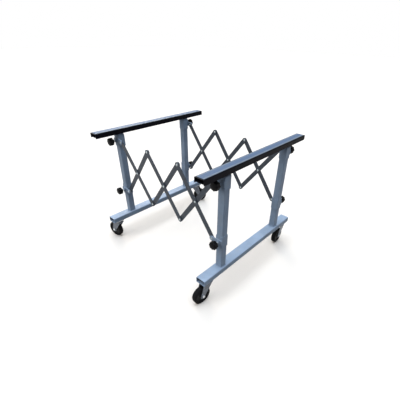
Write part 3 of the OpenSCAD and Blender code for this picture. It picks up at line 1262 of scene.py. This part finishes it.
@dataclass
class EndFrame:
    """A wheeled end frame: base rail, posts, top channel and pad, with their welds."""

    end: End
    trees: Trees
    tube_round: Softening = Softening(0.0007)
    channel_round: Softening = Softening(0.0008)
    pad_round: Softening = Softening(0.0014, 3)
    bead: BeadSizes = BeadSizes(width=0.006, ripple_pitch=0.0032, ripple_depth=0.22)
    corner_radius: float = 0.004
    corner_steps: int = 5

    @property
    def body(self) -> str:
        """The body that the frame's pieces ride on."""
        return f"{self.end.word}_frame"

    def build(self) -> None:
        """Makes the frame's pieces."""
        name = self.end.word
        self.tube_round.dress(f"{name}_base_rail", f"{name}_base_rail_tube", FRAME_PAINT)
        for side in Side:
            post = post_name(self.end, side)
            self.tube_round.dress(post, f"{post}_tube", FRAME_PAINT)
        self.channel_round.dress(f"{name}_top_channel", f"{name}_top_channel_section", CHANNEL_PAINT)
        self.pad_round.dress(f"{name}_top_pad", f"{name}_top_pad_strip", PAD_STRIP)
        self.weld("foot_welds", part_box(f"{name}_base_rail")[1].z, FRAME_PAINT)
        self.weld("head_welds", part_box(post_name(self.end, Side.FRONT))[1].z, CHANNEL_PAINT)

    def weld(self, name: str, height: float, finish: Finish) -> None:
        """Runs a weld round both posts at one height.

        Args:
            name: The piece's name after the frame's.
            height: Height of the joint.
            finish: The paint over the weld.
        """
        loops = [self.post_loop(side, height) for side in Side]
        mesh = self.trees.welds.along(loops, finish, self.bead, ring=True)
        add_piece(f"{self.end.word}_{name}", mesh, finish, self.body)

    def post_loop(self, side: Side, height: float) -> list[Vector]:
        """Gives the path round one post's section.

        Args:
            side: The side that the post stands on.
            height: Height of the path.

        Returns:
            The path's points.
        """
        low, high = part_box(post_name(self.end, side))
        radius = self.corner_radius
        left, right = low.x + radius, high.x - radius
        front, rear = low.y + radius, high.y - radius
        outline: Outline = []
        for quarter, corner in enumerate([(right, rear), (left, rear), (left, front), (right, front)]):
            start = QUARTER_TURN * quarter
            outline += arc(corner, radius, start, start + QUARTER_TURN, self.corner_steps)
        return [Vector((x, y, height)) for x, y in outline]


@dataclass
class CollarStage:
    """The collars of one frame at one level, with their end pivots and clamp knobs."""

    end: End
    level: Level
    trees: Trees
    sleeve_round: Softening = Softening(0.0009)
    lug_height: float = 0.032
    lug_thickness: float = 0.006
    collar_half: float = 0.026
    bead: BeadSizes = BeadSizes(width=0.0042, ripple_pitch=0.0024, ripple_depth=0.2)
    pin: RivetSizes = RivetSizes()
    spacer_radius: float = 0.009
    spacer_chamfer: float = 0.0006
    spacer_steps: int = 40
    knob: KnobSizes = KnobSizes()
    stud: StudSizes = StudSizes()

    @property
    def name(self) -> str:
        """The stage's name in the names of its pieces."""
        return f"{self.end.word}_{self.level.word}"

    @property
    def body(self) -> str:
        """The body that the collars ride on."""
        return f"{self.name}_slide"

    @property
    def lean(self) -> Lean:
        """How the bars that end here lean."""
        return Lean(self.end.value * self.level.value)

    def build(self) -> None:
        """Makes the stage's pieces."""
        self.sleeve_round.dress(f"{self.name}_collars", f"{self.name}_collar_sleeves", FRAME_PAINT)
        self.lug_welds()
        self.pins()
        for side in Side:
            self.clamp(side)

    def knob_name(self, side: Side) -> str:
        """Gives the CAD node of a clamp knob, which is also its body."""
        return f"{self.end.word}_{side.word}_{self.level.word}_knob"

    def axis_point(self, side: Side) -> Vector:
        """Gives the middle of a collar.

        Args:
            side: The side that the collar is on.

        Returns:
            The point on its post's axis at its knob's height.
        """
        low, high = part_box(post_name(self.end, side))
        knob_low, knob_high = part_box(self.knob_name(side))
        return Vector(((low.x + high.x) / 2, (low.y + high.y) / 2, (knob_low.z + knob_high.z) / 2))

    def lug_welds(self) -> None:
        """Runs a weld above and below each lug plate, where it lies on its collar."""
        paths = []
        reach = self.collar_half - self.bead.width
        for side in Side:
            middle = self.axis_point(side)
            for edge in (-1, 1):
                drop = Vector((0.0, side.value * self.collar_half, edge * self.lug_height / 2))
                paths.append([middle + drop + Vector((share * reach, 0.0, 0.0)) for share in (-1, 1)])
        mesh = self.trees.welds.along(paths, FRAME_PAINT, self.bead, ring=False)
        add_piece(f"{self.name}_lug_welds", mesh, FRAME_PAINT, self.body)

    def pins(self) -> None:
        """Makes the end pivots, and the spacers of those that hold an inner bar."""
        node = f"{self.name}_pins"
        low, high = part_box(node)
        unit = 1 if self.end is End.LEFT else Lattice.UNITS
        bar = bar_name(Side.REAR, self.lean, unit)
        reach = high.y - self.pin.head_height
        grip = reach - Side.REAR.inner(bar) + LAYER_GAP
        depth = reach - Side.REAR.outer(bar) - LAYER_GAP
        seats = []
        for side in Side:
            place = ((low.x + high.x) / 2, side.value * reach, self.axis_point(side).z)
            seats.append((Vector(place), side.outward))
        mesh = self.trees.rivets.on(seats, RIVET_ZINC, replace(self.pin, grip=grip))
        add_piece(f"{self.name}_end_pivots", mesh, RIVET_ZINC, self.body, [node])
        if self.lean is Lean.UP:
            spacers = joined(self.spacer(seat, outward, depth) for seat, outward in seats)
            add_piece(f"{self.name}_pivot_spacers", spacers, BRIGHT_ZINC, self.body)

    def spacer(self, seat: Vector, outward: Vector, depth: float) -> Mesh:
        """Turns the spacer between a lug plate and an inner bar.

        Args:
            seat: The pivot's place on the lug plate's outer face.
            outward: The pivot's direction, away from the trestle's middle.
            depth: Distance from that face to the bar.

        Returns:
            The spacer.
        """
        near, far, chamfer = -self.lug_thickness, -depth, self.spacer_chamfer
        radius, bore = self.spacer_radius, self.pin.shank_diameter / 2
        outline = [
            (bore, near), (radius - chamfer, near), (radius, near - chamfer),
            (radius, far + chamfer), (radius - chamfer, far), (bore, far),
        ]
        return turned(outline, seat, outward, self.spacer_steps)

    def clamp(self, side: Side) -> None:
        """Makes one clamp knob and its threaded stud.

        Args:
            side: The side that the knob is on.
        """
        node = self.knob_name(side)
        low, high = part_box(node)
        tip, tail = side.outer(node), side.inner(node)
        middle = self.axis_point(side)
        base = Vector((middle.x, tip - side.value * (self.knob.height + self.knob.crown), middle.z))
        knob = replace(self.knob, diameter=high.x - low.x)
        head = self.trees.knobs.on([(base, side.outward)], KNOB_BLACK, knob)
        add_piece(f"{node}_head", head, KNOB_BLACK, node, [node])
        start = Vector((middle.x, tail, middle.z))
        stud = replace(self.stud, length=abs(base.y - tail) - self.knob.boss_height / 2)
        thread = self.trees.studs.on([(start, side.outward)], BRIGHT_ZINC, stud)
        add_piece(f"{node}_stud", thread, BRIGHT_ZINC, node)


@dataclass
class Lattice:
    """The front and rear scissor lattices, with the rivets of their crossings and vertices."""

    UNITS = 3

    trees: Trees
    bar_round: Softening = Softening(0.0008)
    rivet: RivetSizes = RivetSizes()

    def build(self) -> None:
        """Makes the bars and rivets of every unit."""
        for unit in range(1, self.UNITS + 1):
            for side in Side:
                for lean in Lean:
                    self.bar(side, lean, unit)
            self.rivets(unit)

    def bar_ends(self, side: Side, lean: Lean, unit: int) -> tuple[Vector, Vector]:
        """Gives the end pivots of a bar, at the middle of its thickness.

        Args:
            side: The lattice's side.
            lean: How the bar leans.
            unit: The bar's place from the left.

        Returns:
            The left pivot and the right pivot.
        """
        low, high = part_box(bar_name(side, lean, unit))
        radius = self.end_radius
        middle = (low.y + high.y) / 2
        left, right = low.x + radius, high.x - radius
        bottom, top = low.z + radius, high.z - radius
        if lean is Lean.DOWN:
            return Vector((left, middle, top)), Vector((right, middle, bottom))
        return Vector((left, middle, bottom)), Vector((right, middle, top))

    @property
    def end_radius(self) -> float:
        """Radius of a bar's round end, from its first pivot and its box."""
        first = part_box(bar_name(Side.FRONT, Lean.DOWN, 1))[0]
        return joint_named("lattice_fold")["pos_m"][0] - first.x

    def bar(self, side: Side, lean: Lean, unit: int) -> None:
        """Makes one bar, with its drawn lines along it.

        Args:
            side: The lattice's side.
            lean: How the bar leans.
            unit: The bar's place from the left.
        """
        node = bar_name(side, lean, unit)
        mesh = self.bar_round.mesh(node)
        left, right = self.bar_ends(side, lean, unit)
        along = (right - left).normalized()
        lay_grain(mesh, along, along.cross(REARWARD))
        add_piece(f"{node}_flat", mesh, BAR_ZINC, body_of_node(node), [node])

    def rivets(self, unit: int) -> None:
        """Makes the rivets that stay with one unit's up bars.

        Args:
            unit: The unit's place from the left.
        """
        node = f"lattice_rivets_{unit}"
        reach = Side.REAR.outer(bar_name(Side.REAR, Lean.DOWN, unit)) + LAYER_GAP
        grip = reach - Side.REAR.inner(bar_name(Side.REAR, Lean.UP, unit))
        seats = []
        for side in Side:
            left, right = self.bar_ends(side, Lean.UP, unit)
            spots = [(left + right) / 2]
            if unit > 1:
                spots.append(left)
            if unit < self.UNITS:
                spots.append(right)
            seats.extend((Vector((spot.x, side.value * reach, spot.z)), side.outward) for spot in spots)
        mesh = self.trees.rivets.on(seats, RIVET_ZINC, replace(self.rivet, grip=grip))
        add_piece(f"{node}_domed", mesh, RIVET_ZINC, body_of_node(node), [node])


@dataclass
class Castor:
    """A swivel castor: fork, axle and wheel."""

    end: End
    side: Side
    fork_round: Softening = Softening(0.0012)
    axle_round: Softening = Softening(0.0007)
    wheel_steps: int = 96
    tyre_width: float = 0.034
    tyre_depth: float = 0.018
    shoulder: float = 0.008
    shoulder_steps: int = 10
    wall_step: float = 0.001
    web_width: float = 0.018
    hub_radius: float = 0.017
    hub_half: float = 0.0185
    centre_edge: float = 0.002
    bore: float = 0.00505

    @property
    def corner(self) -> str:
        """The castor's corner in the names of its pieces."""
        return f"{self.end.word}_{self.side.word}"

    def build(self) -> None:
        """Makes the castor's pieces."""
        self.fork_round.dress(f"{self.corner}_fork", f"{self.corner}_fork_pressing", FORK_ZINC)
        self.axle_round.dress(f"{self.corner}_axle", f"{self.corner}_axle_bolt", BRIGHT_ZINC)
        self.wheel()

    def wheel(self) -> None:
        """Turns the tyre and the moulded centre."""
        node = f"{self.corner}_wheel"
        roll = joint_named(f"{self.corner}_roll")
        centre, axis = Vector(roll["pos_m"]), Vector(roll["axis"])
        low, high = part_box(node)
        outer = (high.z - low.z) / 2
        body = body_of_node(node)
        tyre = turned(self.tyre_outline(outer), centre, axis, self.wheel_steps)
        add_piece(f"{self.corner}_wheel_tyre", tyre, TYRE_BLACK, body, [node])
        middle = turned(self.centre_outline(outer - self.tyre_depth), centre, axis, self.wheel_steps)
        add_piece(f"{self.corner}_wheel_centre", middle, CENTRE_BLACK, body)

    def tyre_outline(self, outer: float) -> Outline:
        """Gives the tyre's section, whose sidewalls step down towards the centre.

        Args:
            outer: The tyre's outer radius.

        Returns:
            The closed outline.
        """
        inner, half = outer - self.tyre_depth, self.tyre_width / 2
        shoulder, step = self.shoulder, self.wall_step
        tread = arc((outer - shoulder, half - shoulder), shoulder, 0.0, QUARTER_TURN, self.shoulder_steps)
        wall = [
            (inner + 5 * step, half), (inner + 4 * step, half - step),
            (inner + step, half - step), (inner, half - 2 * step),
        ]
        return mirrored(tread + wall)

    def centre_outline(self, rim: float) -> Outline:
        """Gives the moulded centre's section: hub, dished web and rim.

        Args:
            rim: The centre's outer radius.

        Returns:
            The closed outline.
        """
        web, hub, face, edge = self.web_width / 2, self.hub_radius, self.hub_half, self.centre_edge
        lip = rim - 2 * edge
        return mirrored([
            (rim, web + edge), (lip, web + edge), (lip - edge, web), (hub + edge, web), (hub, web + edge),
            (hub - edge / 2, face - edge / 2), (hub - edge, face), (self.bore, face),
        ])


@dataclass
class CastorFixings:
    """The castor plates of one frame, with their bolts and swivel balls."""

    end: End
    trees: Trees
    plate_round: Softening = Softening(0.0008)
    bolt: BoltSizes = BoltSizes()
    rail_wall: float = 0.0025
    spacing_x: float = 0.046
    spacing_y: float = 0.058

    def build(self) -> None:
        """Makes the plates and bolts, and gives the balls their finish."""
        name = self.end.word
        self.plate_round.dress(f"{name}_castor_plates", f"{name}_castor_top_plates", BRIGHT_ZINC)
        self.bolts()
        balls = frame["nodes"][f"{name}_swivel_balls"]
        balls.data.materials.clear()
        balls.data.materials.append(BRIGHT_ZINC.material())
        LOG.info("%s: finished", balls.name)

    def bolts(self) -> None:
        """Makes the bolts of both castor plates."""
        node = f"{self.end.word}_castor_bolts"
        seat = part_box(node)[0].z + self.bolt.head_height + self.bolt.washer_thickness
        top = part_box(f"{self.end.word}_castor_plates")[1].z
        seats = []
        for side in Side:
            spot = joint_named(f"{self.end.word}_{side.word}_swivel")["pos_m"]
            for x in (-1, 1):
                for y in (-1, 1):
                    place = (spot[0] + x * self.spacing_x / 2, spot[1] + y * self.spacing_y / 2, seat)
                    seats.append((Vector(place), -UP))
        bolt = replace(self.bolt, grip=top - seat + self.rail_wall)
        mesh = self.trees.bolts.on(seats, BOLT_ZINC, bolt)
        add_piece(f"{self.end.word}_castor_hex_bolts", mesh, BOLT_ZINC, body_of_node(node), [node])


@dataclass(frozen=True)
class PhotoCamera:
    """The camera at the photograph's viewing angle, with its frame in pixels."""

    eye: tuple[float, float, float] = (1.3292, -1.3474, 1.4233)
    target: tuple[float, float, float] = (0.1507, -0.0024, 0.2137)
    roll: float = math.radians(1.445)
    frame_px: float = 400.0
    focal_px: float = 278.6
    centre_px: tuple[float, float] = (213.41, 222.9)
    sensor_mm: float = 36.0
    view_reach: float = 100.0

    def build(self) -> None:
        """Adds the camera and makes it the scene's."""
        lens = bpy.data.cameras.new("photo_camera")
        lens.sensor_width = self.sensor_mm
        lens.lens = self.focal_px / self.frame_px * self.sensor_mm
        lens.shift_x = (self.frame_px / 2 - self.centre_px[0]) / self.frame_px
        lens.shift_y = (self.centre_px[1] - self.frame_px / 2) / self.frame_px
        lens.clip_end = self.view_reach
        eye = Vector(self.eye)
        ahead = (Vector(self.target) - eye).normalized()
        right = ahead.cross(UP).normalized()
        above = right.cross(ahead)
        turn = Matrix((right, above, -ahead)).transposed().to_4x4()
        camera = linked("photo_camera", lens)
        camera.matrix_world = Matrix.Translation(eye) @ turn @ Matrix.Rotation(self.roll, 4, "Z")
        bpy.context.scene.camera = camera


@dataclass(frozen=True)
class Lamp:
    """A soft far light that shines the same everywhere."""

    name: str
    source: tuple[float, float, float]
    strength: float
    colour: Colour
    spread: float

    def build(self) -> None:
        """Adds the light, shining from its source to the middle of the floor."""
        data = bpy.data.lights.new(self.name, "SUN")
        data.energy = self.strength
        data.color = self.colour
        data.angle = self.spread
        spot = Vector(self.source)
        turn = (-spot).to_track_quat("-Z", "Y").to_matrix().to_4x4()
        linked(self.name, data).matrix_world = Matrix.Translation(spot) @ turn


@dataclass(frozen=True)
class Studio:
    """A plain pale floor under soft light from above, with a white surround."""

    floor_size: float = 60.0
    floor_colour: Colour = (0.90, 0.86, 0.81)
    floor_tones: Range = (0.995, 1.0)
    floor_shade: Pattern = Pattern(0.8, 3.0)
    floor_roughness: float = 0.9
    floor_bounce: Colour = (0.30, 0.30, 0.31)
    ambient: Paint = (0.20, 0.215, 0.24, 1.0)
    lamps: tuple[Lamp, ...] = (
        Lamp("top_light", (0.0, 0.0, 4.0), 4.15, (0.757, 0.856, 1.0), math.radians(70)),
        Lamp("front_light", (-1.2, -3.4, 1.8), 1.05, (1.0, 1.0, 1.0), math.radians(45)),
        Lamp("back_light", (-3.4, 2.0, 1.7), 1.5, (1.0, 0.98, 0.94), math.radians(30)),
    )

    def build(self) -> None:
        """Adds the floor, the surround and the lamps."""
        bpy.context.scene.view_settings.view_transform = "Standard"
        self.floor()
        self.surround()
        for lamp in self.lamps:
            lamp.build()

    def seen_directly(self, graph: Graph) -> Socket:
        """Tells rays from the camera, from gloss and from glass from those of soft light.

        Args:
            graph: The node tree that asks.

        Returns:
            1 for such a ray and 0 for others.
        """
        path = graph.node("ShaderNodeLightPath").outputs
        seen = graph.math("MAXIMUM", path["Is Camera Ray"], path["Is Glossy Ray"])
        return graph.math("MAXIMUM", seen, path["Is Transmission Ray"])

    def floor(self) -> None:
        """Lays the floor, which throws less light back than it shows."""
        half = self.floor_size / 2
        corners = [(-half, -half, 0.0), (half, -half, 0.0), (half, half, 0.0), (-half, half, 0.0)]
        mesh = bpy.data.meshes.new("floor")
        mesh.from_pydata(corners, [], [(0, 1, 2, 3)])
        shader = Shader("floor_paper")
        paper = shader.mottled(self.floor_shade, self.floor_colour, self.floor_tones)
        shader.set(base_color=shader.mix(self.seen_directly(shader), linear(self.floor_bounce), paper))
        shader.set(roughness=self.floor_roughness, specular_ior_level=0.0)
        mesh.materials.append(shader.material)
        linked("floor", mesh)

    def surround(self) -> None:
        """Lights the scene evenly, and shows white behind it and in reflections."""
        world = bpy.data.worlds.new("surround")
        world.use_nodes = True
        graph = Graph(world.node_tree)
        graph.tree.nodes.clear()
        soft, white = (
            graph.node("ShaderNodeBackground", {"Color": colour, "Strength": 1.0}).outputs[0]
            for colour in (self.ambient, WHITE)
        )
        mixed = graph.node("ShaderNodeMixShader", {0: self.seen_directly(graph), 1: soft, 2: white})
        graph.node("ShaderNodeOutputWorld", {"Surface": mixed.outputs[0]})
        bpy.context.scene.world = world


def main() -> None:
    """Builds the studio and every sub-assembly in order."""
    logging.basicConfig(level=logging.INFO, format="%(name)s %(message)s")
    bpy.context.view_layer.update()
    PhotoCamera().build()
    Studio().build()
    trees = Trees()
    for end in End:
        EndFrame(end, trees).build()
        CastorFixings(end, trees).build()
        for level in Level:
            CollarStage(end, level, trees).build()
        for side in Side:
            Castor(end, side).build()
    Lattice(trees).build()


if __name__ == "__main__":
    main()
